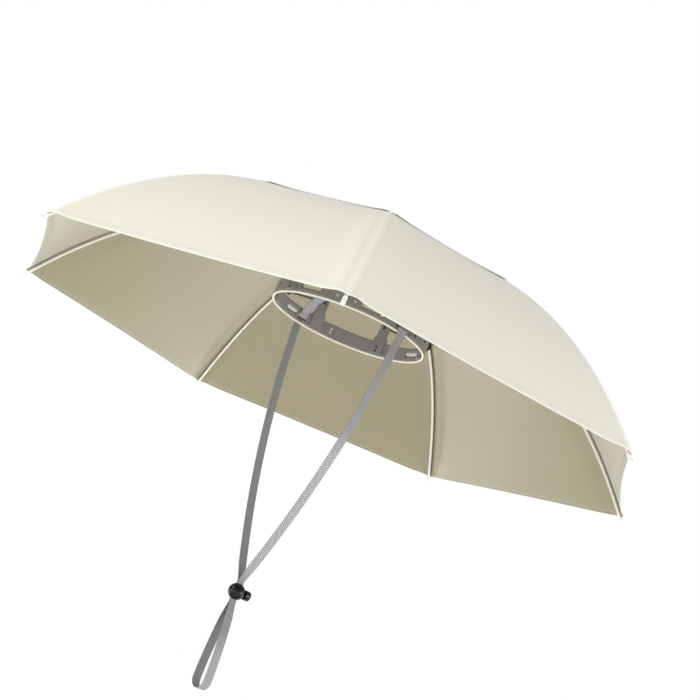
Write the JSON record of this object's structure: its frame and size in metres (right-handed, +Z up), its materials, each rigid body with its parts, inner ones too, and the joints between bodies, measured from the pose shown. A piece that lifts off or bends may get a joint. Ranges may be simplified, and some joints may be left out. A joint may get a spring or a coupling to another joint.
{
  "type": "umbrella hat",
  "caption": "Hands-free sun and rain hat: a vented double canopy on ribs over a plastic head ring, with a crown and chin strap and a cord lock.",
  "frame": {"origin": "centre of the lowest edge of the head ring, where a head enters", "axes": "+Z up along the canopy's axis, +X towards the strap slot on the wearer's one side, -Y along the first rib at the front"},
  "size_m": [0.8344, 0.8139, 0.5918],
  "materials": {
    "cloth": "plain weave, ivory, coated inside",
    "white_trim": "smooth cream white",
    "rib": "cream coated rod",
    "black_fitting": "moulded black",
    "stretcher": "black painted rod",
    "ring_plastic": "satin grey moulding",
    "webbing": "grey zigzag weave",
    "lock_plastic": "polished black"
  },
  "bodies": {
    "hat": {"canopy": "cloth", "vent_canopy": "cloth", "vent_tab_1": "white_trim", "vent_tab_2": "white_trim", "vent_tab_3": "white_trim", "vent_tab_4": "white_trim", "vent_tab_5": "white_trim", "vent_tab_6": "white_trim", "vent_tab_7": "white_trim", "rib_1": "rib", "rib_2": "rib", "rib_3": "rib", "rib_4": "rib", "rib_5": "rib", "rib_6": "rib", "rib_7": "rib", "rib_cap_1": "white_trim", "rib_cap_2": "white_trim", "rib_cap_3": "white_trim", "rib_cap_4": "white_trim", "rib_cap_5": "white_trim", "rib_cap_6": "white_trim", "rib_cap_7": "white_trim", "rib_clamp_1": "black_fitting", "rib_clamp_2": "black_fitting", "rib_clamp_3": "black_fitting", "rib_clamp_4": "black_fitting", "rib_clamp_5": "black_fitting", "rib_clamp_6": "black_fitting", "rib_clamp_7": "black_fitting", "stretcher_1": "stretcher", "stretcher_2": "stretcher", "stretcher_3": "stretcher", "stretcher_4": "stretcher", "stretcher_5": "stretcher", "stretcher_6": "stretcher", "stretcher_7": "stretcher", "hub": "white_trim", "ferrule": "ring_plastic", "head_ring": "ring_plastic", "ring_piping": "white_trim", "strap": "webbing", "lock_body": "lock_plastic"},
    "button": {"lock_button": "lock_plastic"}
  },
  "joints": [
    {"name": "lock_slide", "type": "slide", "parent": "hat", "child": "button", "axis": [0, -1, 0], "range_m": [0, 0.0025], "stiffness_N_per_m": 400, "springref_m": -0.002}
  ]
}
